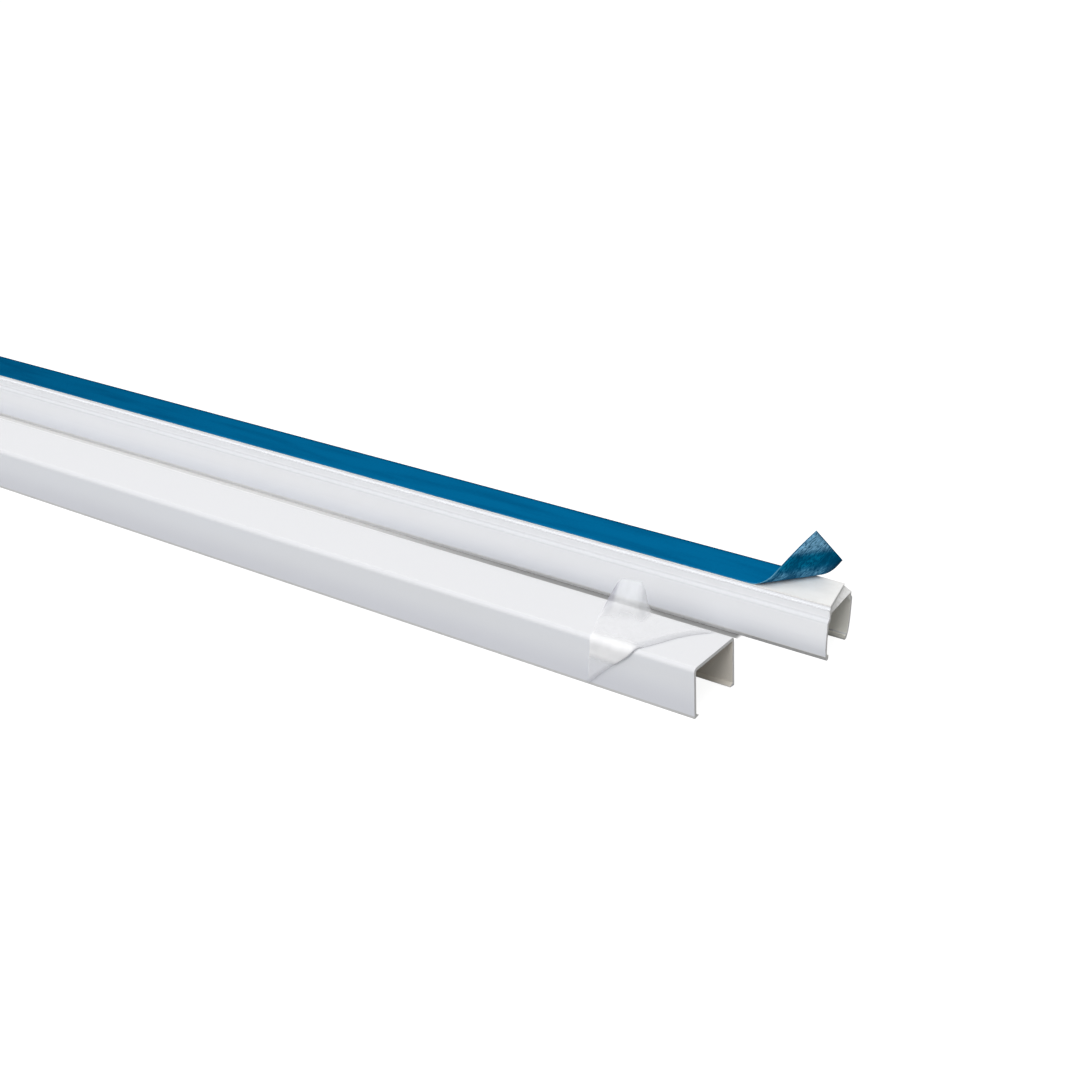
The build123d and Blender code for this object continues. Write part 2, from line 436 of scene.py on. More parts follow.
@dataclass(frozen=True)
class ExtrudedPlastic:
    """White extruded plastic, smooth along the die and rough where it is sawn.

    Heights, depths and places along the stock are in millimetres. A lean is the normal's share
    upwards or, for the saw cut, the square of its share along the stock. Much of the light and
    shade is painted into the colours: the walls darker towards the foot, painted shade on the
    faces that face up, the rounded corners and the crown, a painted shade at the feet, and a
    warmer tint in the hollows for the light bounced there.
    """

    name: str
    hollows: tuple[Hollow, ...]
    colour: Colour = (0.77, 0.79, 0.83)
    warm_colour: Colour = (0.76, 0.77, 0.79)
    # Painted shade: the walls darken towards the foot, and the faces that face up, the rounded
    # corners and the crown are painted darker.
    low_shade_colour: Colour = (0.675, 0.69, 0.74)
    top_shade_colour: Colour = (0.76, 0.765, 0.785)
    round_shade_colour: Colour = (0.70, 0.705, 0.73)
    crown_shade_colour: Colour = (0.69, 0.695, 0.72)
    # Painted shade at the feet and on the faces that face down, for the contact shadow, lighter
    # far from the near end.
    foot_shade_colour: Colour = (0.54, 0.54, 0.54)
    far_foot_shade_colour: Colour = (0.58, 0.58, 0.58)
    # Painted bounce light: the hollows are tinted warmer.
    inside_colour: Colour = (0.80, 0.76, 0.69)
    sawn_colour: Colour = (0.74, 0.74, 0.72)
    foot_height: float = 0.7
    foot_blur: float = 0.3
    low_heights: Span = (11.0, 2.0)
    crown_heights: Span = (14.2, 15.0)
    far_foot_places: Span = (186.0, 176.0)
    round_leans: Span = (-0.1, 0.5)
    top_leans: Span = (0.9, 0.98)
    under_leans: Span = (-0.25, -0.5)
    sawn_leans: Span = (0.01, 0.06)
    cloud_scale: Scale = (8.0, 60.0, 60.0)
    cloud_range: Span = (0.35, 0.75)
    cloud_share: float = 0.6
    die_line_scale: Scale = (3.0, 2600.0, 2600.0)
    saw_mark_scale: Scale = (2500.0, 300.0, 2500.0)
    grime_scale: float = 900.0
    grime_range: Span = (0.3, 0.7)
    grime_share: float = 0.5
    roughness: float = 0.45
    roughness_swing: float = 0.12
    sawn_roughness: float = 0.75
    specular: float = 0.25
    die_line_depth: float = 0.01
    saw_depth: float = 0.15

    def die_colour(
        self,
        bench: Bench,
        middle: float,
        cloud: Level,
        upward: Level,
    ) -> bpy.types.NodeSocket:
        """Colour the faces that came out of the die, with painted shade and a painted warm
        bounce.

        Args:
            bench: The material's nodes.
            middle: The channel's middle, from front to back, in millimetres.
            cloud: The slow pattern in the plastic.
            upward: How far the surface faces up.

        Returns:
            The colour.
        """
        far, depth, height = bench.axes(bench.place())
        aside = (depth - middle * MM).size()
        rounded = upward.ramp(*self.round_leans)
        crown = rounded * height.over(self.crown_heights)
        # Painted shade at the feet and on the faces that face down, lighter far from the near
        # end.
        foot = height.over((self.foot_height, self.foot_height - self.foot_blur))
        foot = foot.larger(upward.ramp(*self.under_leans))
        blotch_and_shade = bench.blend(far.over(self.far_foot_places), self.foot_shade_colour, self.far_foot_shade_colour)
        tints = cloud.ramp(*self.cloud_range) * self.cloud_share
        plain = bench.blend(tints, self.colour, self.warm_colour)
        # Painted shade: darker towards the foot, on the rounded corners, the crown and the tops.
        plain = bench.blend(height.over(self.low_heights), plain, self.low_shade_colour)
        plain = bench.blend(rounded, plain, self.round_shade_colour)
        plain = bench.blend(crown, plain, self.crown_shade_colour)
        plain = bench.blend(upward.ramp(*self.top_leans), plain, self.top_shade_colour)
        plain = bench.blend(foot, plain, blotch_and_shade)
        # Painted bounce light: a warmer tint round the hollows.
        inside, *others = [hollow.mask(aside, height) for hollow in self.hollows]
        for other in others:
            inside = inside.larger(other)
        return bench.blend(inside, plain, self.inside_colour)

    def material(self, middle: float) -> bpy.types.Material:
        """Make the material.

        Args:
            middle: The channel's middle, from front to back, in millimetres.

        Returns:
            The material.
        """
        bench = Bench(self.name)
        place = bench.place()
        normal = bench.node("ShaderNodeNewGeometry").outputs["Normal"]
        along, _, upward = bench.axes(normal)
        sawn = (along * along).ramp(*self.sawn_leans)
        cloud = bench.grain(place, self.cloud_scale, detail=2.0)
        lines = bench.grain(place, self.die_line_scale, detail=2.0)
        marks = bench.grain(place, self.saw_mark_scale)
        grime = bench.noise(place, self.grime_scale, detail=4.0, roughness=0.6)
        plain = self.die_colour(bench, middle, cloud, upward)
        dirt = grime.ramp(*self.grime_range) * self.grime_share
        cut = bench.blend(dirt, self.sawn_colour, self.warm_colour)
        relief = lines * (1 - sawn) * (self.die_line_depth / self.saw_depth) + marks * sawn
        bench.relief(relief, self.saw_depth * MM)
        gloss = self.roughness + cloud.swing(self.roughness_swing)
        return bench.shade(
            Base_Color=bench.blend(sawn, plain, cut),
            Roughness=gloss * (1 - sawn) + sawn * self.sawn_roughness,
            Specular_IOR_Level=self.specular,
        )


@dataclass(frozen=True)
class TapeFoam:
    """White pressure-sensitive tape."""

    name: str = "tape_foam"
    colour: Colour = (0.91, 0.90, 0.88)
    worn_colour: Colour = (0.85, 0.84, 0.82)
    blotch_scale: Scale = (160.0, 300.0, 300.0)
    blotch_range: Span = (0.35, 0.7)
    pore_scale: float = 2500.0
    pore_depth: float = 0.03
    roughness: float = 0.42
    roughness_swing: float = 0.3

    def material(self) -> bpy.types.Material:
        """Make the material.

        Returns:
            The material.
        """
        bench = Bench(self.name)
        place = bench.place()
        blotch = bench.grain(place, self.blotch_scale)
        pores = bench.noise(place, self.pore_scale, detail=2.0)
        bench.relief(pores, self.pore_depth * MM)
        blotch_and_shade = blotch.ramp(*self.blotch_range)
        return bench.shade(
            Base_Color=bench.blend(blotch_and_shade, self.colour, self.worn_colour),
            Roughness=self.roughness + blotch.swing(self.roughness_swing),
        )


class LinerSide(Enum):
    """The two sides of the release liner."""

    FACE = "liner_face"
    BACK = "liner_back"


@dataclass(frozen=True)
class LinerPeel:
    """The peeled end of the release liner, rolled up about a line across the strip.

    Lengths are in millimetres and angles in degrees.
    """

    length: float = 27.14
    direction: float = 50.38
    radius: float = 4.86
    turn: float = 86.4
    uncurl: float = 0.016
    thickness: float = 0.16
    saw_skew: float = 9.5
    overhang: float = 0.4
    cut_step: float = 0.5
    cut_reach: float = 21.0
    stride: float = 0.1

    @property
    def away(self) -> Vector:
        """The direction on the flat strip in which the peel runs off."""
        angle = math.radians(self.direction)
        return Vector((math.sin(angle), -math.cos(angle), 0.0))

    @property
    def axis(self) -> Vector:
        """The direction of the roll's axis."""
        angle = math.radians(self.direction)
        return Vector((math.cos(angle), math.sin(angle), 0.0))

    def heading(self, distance: float) -> float:
        """Give how far the liner has turned up at a distance from the peel's start.

        Args:
            distance: The distance along the sheet, away from the roll's first line.

        Returns:
            The angle in radians.
        """
        rolled = self.radius * math.radians(self.turn)
        turned = min(max(distance, 0.0), rolled) / self.radius
        return turned - self.uncurl * max(distance - rolled, 0.0)

    def bend(self, flat: Vector) -> Vector:
        """Bend one point of the flat sheet.

        Args:
            flat: The point, from the peel's start on the strip's front edge.

        Returns:
            The point's place, from the same start.
        """
        distance, along = flat.dot(self.away), flat.dot(self.axis)
        if distance <= 0.0:
            return flat.copy()
        steps = max(2, round(distance / self.stride))
        place = Vector()
        for index in range(steps):
            angle = self.heading(distance * (index + 0.5) / steps)
            run = self.away * math.cos(angle) + Vector((0.0, 0.0, math.sin(angle)))
            place += run * (distance / steps)
        angle = self.heading(distance)
        normal = Vector((0.0, 0.0, math.cos(angle))) - self.away * math.sin(angle)
        return place + self.axis * along + normal * flat.z


@dataclass(frozen=True)
class LinerFilm:
    """Blue release film, even on its face, with painted reflections and shade on its back and
    edges.

    Spans are in millimetres: across the strip from its front edge, in from its far edge or its
    end, and away from the peel's first line.
    """

    peel: LinerPeel
    width: float
    colour: Colour = (0.0006, 0.128, 0.295)
    deep_colour: Colour = (0.0004, 0.098, 0.235)
    # Painted light and shade: a highlight on the front edge, reflections on the back, and shade
    # on the back, at the far edge and at the peeled end.
    edge_highlight_colour: Colour = (0.17, 0.44, 0.60)
    reflection_colour: Colour = (0.26, 0.58, 0.84)
    middle_colour: Colour = (0.001, 0.19, 0.36)
    shade_colour: Colour = (0.0002, 0.065, 0.15)
    front_edge: Span = (0.4, 0.12)
    front_rim: Span = (0.5, 0.1)
    far_edge: Span = (0.6, 0.1)
    end_edge: Span = (0.5, 0.1)
    roll_start: Span = (-1.0, 1.0)
    near_places: Span = (12.0, 6.0)
    rim_places: Span = (8.0, 12.0)
    high_places: Span = (11.0, 15.0)
    low_places: Span = (9.5, 5.5)
    front_light: float = 0.15
    front_light_near: float = 0.5
    plain_light: float = 0.35
    high_patch_light: float = 0.6
    low_patch_light: float = 0.4
    low_light: float = 0.55
    plain_streaks: float = 0.5
    lit_streaks: float = 4.0
    face_edge_share: float = 0.85
    back_edge_share: float = 0.7
    cloud_scale: Scale = (25.0, 180.0, 1.0)
    cloud_range: Span = (0.4, 0.75)
    speck_scale: Scale = (900.0, 1400.0, 1.0)
    streak_scale: Scale = (700.0, 2300.0, 1.0)
    streak_range: Span = (0.35, 0.65)
    patch_scale: Scale = (110.0, 230.0, 1.0)
    patch_range: Span = (0.3, 0.6)
    low_patch_range: Span = (0.36, 0.6)
    roughness: float = 0.4
    roughness_swing: float = 0.1

    def away(self, bench: Bench) -> Level:
        """Give the distance from the peel's first line, in metres."""
        along, across, _ = bench.axes(bench.sheet())
        return along * self.peel.away.x + across * self.peel.away.y

    def light_front(self, bench: Bench) -> Level:
        """Mask the strip's front edge for its painted highlight.

        Args:
            bench: The material's nodes.

        Returns:
            How strong the painted highlight is, more so where it rolls up.
        """
        _, across, _ = bench.axes(bench.sheet())
        away = self.away(bench)
        near = away.over(self.roll_start) * away.over(self.near_places)
        return across.over(self.front_edge) * (self.front_light + self.front_light_near * near)

    def dark_far(self, bench: Bench) -> Level:
        """Mask the strip's far edge for its painted shade.

        Args:
            bench: The material's nodes.

        Returns:
            The mask.
        """
        _, across, _ = bench.axes(bench.sheet())
        start, end = self.far_edge
        return across.over((self.width - start, self.width - end))

    def dark_rim(self, bench: Bench) -> Level:
        """Mask the peeled end and the front edge beside it, for their painted shade.

        Args:
            bench: The material's nodes.

        Returns:
            The mask.
        """
        along, across, _ = bench.axes(bench.sheet())
        start, end = self.end_edge
        sawn = along + math.tan(math.radians(self.peel.saw_skew)) * across
        rim = sawn.over((self.peel.length - start, self.peel.length - end))
        front = across.over(self.front_rim) * self.away(bench).over(self.rim_places)
        return rim.larger(front)

    def face(self, bench: Bench) -> bpy.types.Material:
        """Finish the even blue face, with a painted highlight on its front edge and painted shade
        at its far edge.

        Args:
            bench: The material's nodes.

        Returns:
            The material.
        """
        flat = bench.sheet()
        cloud = bench.grain(flat, self.cloud_scale)
        speck = bench.grain(flat, self.speck_scale, detail=2.0)
        depth = (cloud.ramp(*self.cloud_range) + (speck - PATTERN_MEAN)).clamped()
        even = bench.blend(depth, self.colour, self.deep_colour)
        tinted = bench.blend(self.light_front(bench), even, self.edge_highlight_colour)
        dark = self.dark_far(bench) * self.face_edge_share
        return bench.shade(
            Base_Color=bench.blend(dark, tinted, self.shade_colour),
            Roughness=self.roughness + cloud.swing(self.roughness_swing),
            Specular_IOR_Level=0.0,
        )

    def back(self, bench: Bench) -> bpy.types.Material:
        """Finish the back, with painted reflections in streaks where the flap stands up and where
        it rolls, on painted shade.

        Args:
            bench: The material's nodes.

        Returns:
            The material.
        """
        flat, away = bench.sheet(), self.away(bench)
        streak = bench.grain(flat, self.streak_scale, roughness=0.7)
        patch = bench.grain(flat, self.patch_scale, detail=2.0)
        # Painted reflections where the flap stands up (high) and where it rolls (low), streaked
        # and patchy.
        high = away.over(self.high_places)
        blotch_and_shade = patch.ramp(*self.low_patch_range)
        low = away.over(self.low_places) * (self.plain_light + self.low_patch_light * blotch_and_shade)
        streaks = streak.swing(self.plain_streaks + self.lit_streaks * (high + low))
        upper = high * (self.plain_light + self.high_patch_light * patch)
        share = upper + low * self.low_light + streaks
        mottle = streak.ramp(*self.streak_range) * patch.ramp(*self.patch_range)
        base = bench.blend(mottle, self.shade_colour, self.middle_colour)
        lit = bench.blend(share.clamped() * (high + low).clamped(), base, self.reflection_colour)
        edged = bench.blend(self.light_front(bench), lit, self.edge_highlight_colour)
        dark = self.dark_far(bench).larger(self.dark_rim(bench)) * self.back_edge_share
        return bench.shade(
            Base_Color=bench.blend(dark, edged, self.shade_colour),
            Roughness=self.roughness,
            Specular_IOR_Level=0.0,
        )

    def material(self, side: LinerSide) -> bpy.types.Material:
        """Make the material of one side."""
        bench = Bench(side.value)
        return self.face(bench) if side is LinerSide.FACE else self.back(bench)


@dataclass(frozen=True)
class FilmPeel:
    """How the clear film is folded back from the cover's near end, on the unrolled sheet.

    All is in millimetres. The fold starts at the front foot and ends near the back corner.
    """

    foot: float = 34.7
    back: float = 3.5
    back_edge: float = 37.3
    margin: float = 0.6
    roll: float = 0.45
    ease: float = 0.05
    loose_height: float = 0.25
    settle_length: float = 6.0
    ridge_shift: float = 2.0
    ridge_place: float = 14.8
    top_place: float = 31.0
    shift_spread: float = 7.0
    shift_fade: float = 9.0
    rim: float = 9.0
    rim_power: float = 1.5
    lift: float = 9.5
    lift_start: Span = (-1.5, 5.0)
    steep_end: Span = (13.5, 11.0)
    gentle_end: Span = (28.0, 12.0)
    steep_share: float = 0.88

    @property
    def fold_start(self) -> Vector:
        """The fold's lower end, from the sheet's near corner at the front foot."""
        return Vector((-self.foot, 0.0))

    @property
    def fold_run(self) -> Vector:
        """The fold's direction on the sheet, of length 1."""
        return Vector((self.foot - self.back, self.back_edge)).normalized()

    @property
    def fold_normal(self) -> Vector:
        """The direction on the sheet from the fold towards the peeled corner."""
        return Vector((self.fold_run.y, -self.fold_run.x))

    def shift(self, across: float, past: float) -> float:
        """Give how far the film strays along the stock from a straight fold's place.

        Args:
            across: The place round the section.
            past: The sheet's distance beyond the fold.

        Returns:
            The distance.
        """
        ridge = bell(across, self.ridge_place, self.shift_spread)
        top = bell(across, self.top_place, self.shift_spread) * bell(past, 0.0, self.shift_fade)
        return (ridge - top) * self.ridge_shift

    def rise(self, flat: Vector) -> float:
        """Give how far the folded film stands off the cover.

        Args:
            flat: The point on the sheet before it is folded.

        Returns:
            The height.
        """
        near_rim = max(0.0, 1.0 + flat.x / self.rim)
        steep = self.steep_share * smooth(flat.y, self.steep_end)
        gentle = (1.0 - self.steep_share) * smooth(flat.y, self.gentle_end)
        hump = smooth(flat.y, self.lift_start) * (steep + gentle)
        return self.lift * hump * near_rim**self.rim_power

    def fold(self, flat: Vector) -> tuple[float, float, float]:
        """Fold one point of the sheet back.

        Args:
            flat: The point on the sheet, from its near corner at the front foot.

        Returns:
            Its place along the stock, its place round the section and its height.
        """
        offset = flat - self.fold_start
        past, along = offset.dot(self.fold_normal), offset.dot(self.fold_run)
        if past <= 0.0:
            return flat.x + self.shift(flat.y, past), flat.y, self.ease
        half = math.pi * self.roll
        if past < half:
            place = self.roll * math.sin(past / self.roll)
            height = self.roll * (1.0 - math.cos(past / self.roll))
        else:
            place = half - past
            settle = math.exp(-(past - half) / self.settle_length)
            height = self.loose_height + (2.0 * self.roll - self.loose_height) * settle
        spot = self.fold_start + self.fold_run * along + self.fold_normal * place
        return spot.x + self.shift(spot.y, past), spot.y, self.ease + height + self.rise(flat)


@dataclass(frozen=True)
class ClearFilm:
    """Clear protective film, with painted shade and highlights where it is folded, lifted or
    creased.

    Spans are in millimetres: past the fold, up along it, across the sheet from the front foot,
    and folded, which is round the cover's section after the fold. A share is an opacity.
    """

    peel: FilmPeel
    name: str = "clear_sheet"
    colour: Colour = (0.97, 0.97, 0.98)
    # Painted shade: the shadow under the fold on the front wall, the shaded roll along the fold
    # on the top, and the shade on the lobe.
    crease_shadow_colour: Colour = (0.33, 0.34, 0.40)
    band_shade_colour: Colour = (0.62, 0.63, 0.66)
    lobe_shade_colour: Colour = (0.68, 0.70, 0.73)
    strip_shade_colour: Colour = (0.40, 0.40, 0.46)
    flap_past: Span = (0.0, 1.0)
    front_up: Span = (22.0, 19.0)
    crease_past: tuple[Span, Span] = ((-1.4, -0.1), (1.4, 0.2))
    band_past: tuple[Span, Span] = ((-0.5, 0.3), (4.0, 2.4))
    ridge_folded: tuple[Span, Span] = ((9.5, 12.0), (19.5, 16.0))
    clear_folded: Span = (35.0, 37.0)
    tint_folded: Span = (24.0, 30.0)
    lobe_across: Span = (15.0, 12.0)
    strip_across: Span = (4.5, 3.0)
    haze_across: Span = (24.0, 14.0)
    wrinkle_scale: float = 160.0
    wrinkle_range: Span = (0.3, 0.7)
    plain_share: float = 0.01
    flap_share: float = 0.03
    haze_share: float = 0.08
    wrinkle_share: float = 0.12
    lobe_share: float = 0.5
    # The opacity of a painted white highlight along the cover's ridge.
    ridge_highlight_share: float = 0.6
    band_share: float = 0.3
    crease_share: float = 0.18
    clear_share: float = 0.97
    roughness: float = 0.3
    specular: float = 0.15

    def material(self) -> bpy.types.Material:
        """Make the material.

        Returns:
            The material.
        """
        peel, bench = self.peel, Bench(self.name)
        flat = bench.sheet()
        along, across, _ = bench.axes(flat)
        start, normal, run = peel.fold_start * MM, peel.fold_normal, peel.fold_run
        past = (along - start.x) * normal.x + (across - start.y) * normal.y
        up = (along - start.x) * run.x + (across - start.y) * run.y
        turn = 2.0 * math.atan2(run.y, run.x)
        folded = (along - start.x) * math.sin(turn) - across * math.cos(turn)
        flap = past.over(self.flap_past)
        front = up.over(self.front_up)
        # Painted shadow along the fold on the front wall, and a painted shaded band along it on
        # the top.
        crease = past.between(*self.crease_past) * front
        band = past.between(*self.band_past) * (1 - front)
        # Painted highlight along the ridge.
        ridge = folded.between(*self.ridge_folded) * flap
        rim = (along + peel.rim * MM).over((0.0, peel.rim)) * flap
        # Painted shade on the lobe, darker along its strip.
        lobe = rim * across.over(self.lobe_across)
        strip = lobe * across.over(self.strip_across)
        wrinkle = bench.noise(flat, self.wrinkle_scale, detail=2.0).ramp(*self.wrinkle_range)
        haze = self.haze_share + self.wrinkle_share * wrinkle
        haze = flap * across.over(self.haze_across) * haze
        clear = folded.over(self.clear_folded) * (1 - lobe)
        alpha = self.plain_share + flap * self.flap_share + haze
        alpha = alpha + lobe * self.lobe_share + ridge * self.ridge_highlight_share
        alpha = alpha.larger(band * self.band_share).larger(crease * self.crease_share)
        alpha = alpha * (1 - clear * self.clear_share)
        tint = folded.over(self.tint_folded)
        tinted = bench.blend(band, self.colour, self.band_shade_colour)
        tinted = bench.blend(crease, tinted, self.crease_shadow_colour)
        tinted = bench.blend(lobe * tint, tinted, self.lobe_shade_colour)
        tinted = bench.blend(strip * tint, tinted, self.strip_shade_colour)
        return bench.shade(
            Base_Color=tinted,
            Roughness=self.roughness,
            Specular_IOR_Level=self.specular,
            Alpha=alpha.clamped(),
        )


@dataclass(frozen=True)
class FloorPaint:
    """The floor's paint, which glows white where it is seen.

    The paint itself is grey, so that it doesn't light the walls too much from below, and paler
    in a strip between the two channels, less so towards the near end. The glow leaves out a line
    in that strip, along the base's front foot, and the paint there is darker towards the near
    end: a painted shadow for the gap between the channels. Spans are in millimetres.
    """

    name: str = "floor"
    open_tone: Colour = (0.27, 0.27, 0.27)
    near_tone: Colour = (0.45, 0.45, 0.45)
    far_tone: Colour = (0.58, 0.58, 0.58)
    shadow_line_tone: Colour = (0.32, 0.32, 0.32)
    far_end: Span = (-196.0, -190.0)
    near_end: Span = (181.5, 179.5)
    shadow_line_front: Span = (12.8, 13.5)
    strip_front: Span = (2.0, 10.0)
    strip_back: Span = (17.5, 16.0)
    far_places: Span = (120.0, 10.0)
    kept_places: Span = (150.0, -40.0)
    kept_glow: float = 0.18
    glow: float = 0.9
    roughness: float = 0.9

    def material(self) -> bpy.types.Material:
        """Make the material.

        Returns:
            The material.
        """
        bench = Bench(self.name)
        along, depth, _ = bench.axes(bench.place())
        ends = along.between(self.far_end, self.near_end)
        # Painted shadow: a darker line in the strip along the base's front foot, for the gap
        # between the channels.
        line = depth.between(self.shadow_line_front, self.strip_back) * ends
        strip = depth.between(self.strip_front, self.strip_back) * ends
        far = along.over(self.far_places)
        kept = self.kept_glow * along.over(self.kept_places)
        tone = bench.blend(far, self.near_tone, self.far_tone)
        tone = bench.blend(strip, self.open_tone, tone)
        tone = bench.blend(line * (1 - far), tone, self.shadow_line_tone)
        bench.shade(Base_Color=tone, Roughness=self.roughness, Specular_IOR_Level=0.0)
        # The glow leaves out the painted shadow line, a little less far from the near end.
        strength = bench.seen() * self.glow * (1 - line * (1 - kept))
        glow = bench.node("ShaderNodeEmission", None, {"Strength": strength})
        shaders = {0: bench.shader.outputs[0], 1: glow.outputs[0]}
        both = bench.node("ShaderNodeAddShader", None, shaders)
        bench.link(both.outputs[0], bench.output.inputs["Surface"])
        return bench.material


@dataclass(frozen=True)
class Liner:
    """The blue release liner with its peeled end."""

    layout: Layout
    peel: LinerPeel = LinerPeel()
    rows: int = 10
    spare: float = 1.0
    face_share: float = 0.9

    @property
    def start(self) -> Vector:
        """The peel's start on the tape's front edge, in millimetres."""
        along = self.layout.base.high[X] + self.peel.overhang - self.peel.length
        return Vector((along, self.layout.tape.low[Y], self.layout.tape.high[Z]))

    @property
    def width(self) -> float:
        """The liner's width, which is the tape's."""
        return self.layout.tape.size(Y)

    def sheet(self) -> bmesh.types.BMesh:
        """Cut the flat sheet, with cross lines where it will roll.

        Returns:
            The sheet in millimetres, from the peel's start.
        """
        peel = self.peel
        far = self.layout.base.low[X] - self.start.x
        mesh = flat_sheet((far, 0.0), (peel.length + self.spare, self.width), self.rows)
        skew = math.radians(peel.saw_skew)
        sawn = Vector((math.cos(skew), math.sin(skew), 0.0))
        trim(mesh, Vector((peel.length, 0.0, 0.0)), sawn, True)
        for index in range(round(peel.cut_reach / peel.cut_step) + 1):
            trim(mesh, peel.away * (peel.cut_step * index), peel.away)
        return mesh

    def build(self) -> bpy.types.Object:
        """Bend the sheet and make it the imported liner's piece.

        Returns:
            The liner's object.
        """
        mesh = self.sheet()
        thickness = self.peel.thickness
        made = bmesh.ops.extrude_face_region(mesh, geom=list(mesh.faces), use_keep_orig=True)
        raised = [item for item in made["geom"] if isinstance(item, bmesh.types.BMVert)]
        bmesh.ops.translate(mesh, vec=(0.0, 0.0, thickness), verts=raised)
        bmesh.ops.recalc_face_normals(mesh, faces=mesh.faces)
        sides = list(LinerSide)
        for face in mesh.faces:
            on_face = face.calc_center_median().z > self.face_share * thickness
            face.material_index = sides.index(LinerSide.FACE if on_face else LinerSide.BACK)
        keep_sheet(mesh)
        start = self.start
        bend(mesh, lambda flat: start + self.peel.bend(flat))
        liner = as_object("liner_sheet", mesh)
        finish = LinerFilm(self.peel, self.width)
        for side in sides:
            liner.data.materials.append(finish.material(side))
        stand_in(liner, "release_liner")
        return liner


@dataclass(frozen=True)
class Film:
    """The clear film round the cover, folded back at its near end."""

    layout: Layout
    peel: FilmPeel = FilmPeel()
    cut_step: float = 0.8
    cuts_along: int = 62
    arc_steps: int = 6
    top_steps: int = 22
    wall_steps: int = 13
    roll_steps: int = 8
    corner_margin: float = 1.0

    def wrap(self, along: float, across: float, height: float, open_back: bool) -> Vector:
        """Lay a point of the unrolled sheet round the cover.

        Args:
            along: Its place along the stock, from the cover's near end.
            across: Its place round the section, from the front foot.
            height: How far it stands off the cover.
            open_back: Whether the sheet runs on past the back corner and does not turn down.

        Returns:
            The place in the row's frame, in millimetres.
        """
        layout = self.layout
        radius = layout.cover_radius
        past_wall = across - layout.cover_wall
        past_arc = past_wall - layout.cover_arc
        past_top = past_arc - layout.cover_top
        depth, rise = -height, across
        if past_wall > 0.0:
            angle = min(past_wall / radius, math.pi / 2)
            depth = radius - (radius + height) * math.cos(angle)
            rise = layout.cover_wall + (radius + height) * math.sin(angle)
        if past_arc > 0.0:
            depth = radius + past_arc
        if past_top > 0.0 and not open_back:
            angle = min(past_top / radius, math.pi / 2)
            depth = radius + layout.cover_top + (radius + height) * math.sin(angle)
            rise = layout.cover_wall + (radius + height) * math.cos(angle)
            rise -= max(0.0, past_top - layout.cover_arc)
        return Vector((layout.cover_near_end + along, layout.cover.low[Y] + depth, rise))

    def crosswise_cuts(self) -> list[float]:
        """List the places round the section where the sheet is cut to bend smoothly.

        Returns:
            The places in millimetres, from the front foot.
        """
        layout, arc, top = self.layout, self.layout.cover_arc, self.layout.cover_top
        wall = layout.cover_wall
        corners = [
            turn + arc * index / self.arc_steps
            for index in range(self.arc_steps + 1)
            for turn in (wall, wall + arc + top)
        ]
        tops = [wall + arc + top * index / self.top_steps for index in range(1, self.top_steps)]
        walls = [wall * index / self.wall_steps for index in range(1, self.wall_steps)]
        return corners + tops + walls

    def sheet(self) -> bmesh.types.BMesh:
        """Cut the flat sheet, with lines where it bends and without its back corner.

        Returns:
            The sheet in millimetres, from its near corner at the front foot.
        """
        layout, peel = self.layout, self.peel
        girth = 2 * (layout.cover_wall + layout.cover_arc) + layout.cover_top
        mesh = flat_sheet((-layout.stock_length, peel.margin), (0.0, girth - peel.margin))
        for index in range(self.cuts_along):
            trim(mesh, Vector((-self.cut_step * index, 0.0, 0.0)), Vector((1.0, 0.0, 0.0)))
        for place in self.crosswise_cuts():
            trim(mesh, Vector((0.0, place, 0.0)), Vector((0.0, 1.0, 0.0)))
        start, normal = peel.fold_start.to_3d(), peel.fold_normal.to_3d()
        for index in range(self.roll_steps + 1):
            past = math.pi * peel.roll * index / self.roll_steps
            trim(mesh, start + normal * past, normal)
        corner = [
            face
            for face in mesh.faces
            if face.calc_center_median().y > peel.back_edge - self.corner_margin
            and (face.calc_center_median() - start).dot(normal) > -self.corner_margin
        ]
        bmesh.ops.delete(mesh, geom=corner, context="FACES")
        return mesh

    def lay(self, flat: Vector) -> Vector:
        """Fold and wrap one point of the sheet."""
        along, across, height = self.peel.fold(flat.to_2d())
        return self.wrap(along, across, height, height > 2 * self.peel.ease)

    def build(self) -> bpy.types.Object:
        """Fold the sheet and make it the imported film's piece.

        Returns:
            The film's object.
        """
        mesh = self.sheet()
        keep_sheet(mesh)
        bend(mesh, self.lay)
        film = as_object("film_sheet", mesh)
        film.data.materials.append(ClearFilm(self.peel).material())
        stand_in(film, "protective_film")
        return film


@dataclass(frozen=True)
class BaseHalf:
    """The base channel with its tape and the release liner over it."""

    layout: Layout
    tape: TapeFoam = TapeFoam()
    # Painted light and shade: the base's white is painted much lighter than the cover's, though
    # they are one plastic, and its faces that face up much darker.
    plastic: ExtrudedPlastic = ExtrudedPlastic(
        "base_plastic",
        (Hollow(8.8, 1.6, 12.4), Hollow(7.3, 0.4, 15.5)),
        colour=(0.955, 0.965, 0.99),
        warm_colour=(0.95, 0.955, 0.97),
        low_shade_colour=(0.83, 0.85, 0.90),
        top_shade_colour=(0.66, 0.67, 0.695),
        round_shade_colour=(0.645, 0.655, 0.68),
        crown_shade_colour=(0.60, 0.605, 0.625),
        far_foot_shade_colour=(0.93, 0.93, 0.93),
        inside_colour=(0.95, 0.94, 0.88),
    )

    def build(self) -> None:
        """Dress the channel and the tape, and bend the liner."""
        dress("base_channel", self.plastic.material(self.layout.base.middle(Y)))
        dress("adhesive_strip", self.tape.material())
        Liner(self.layout).build()


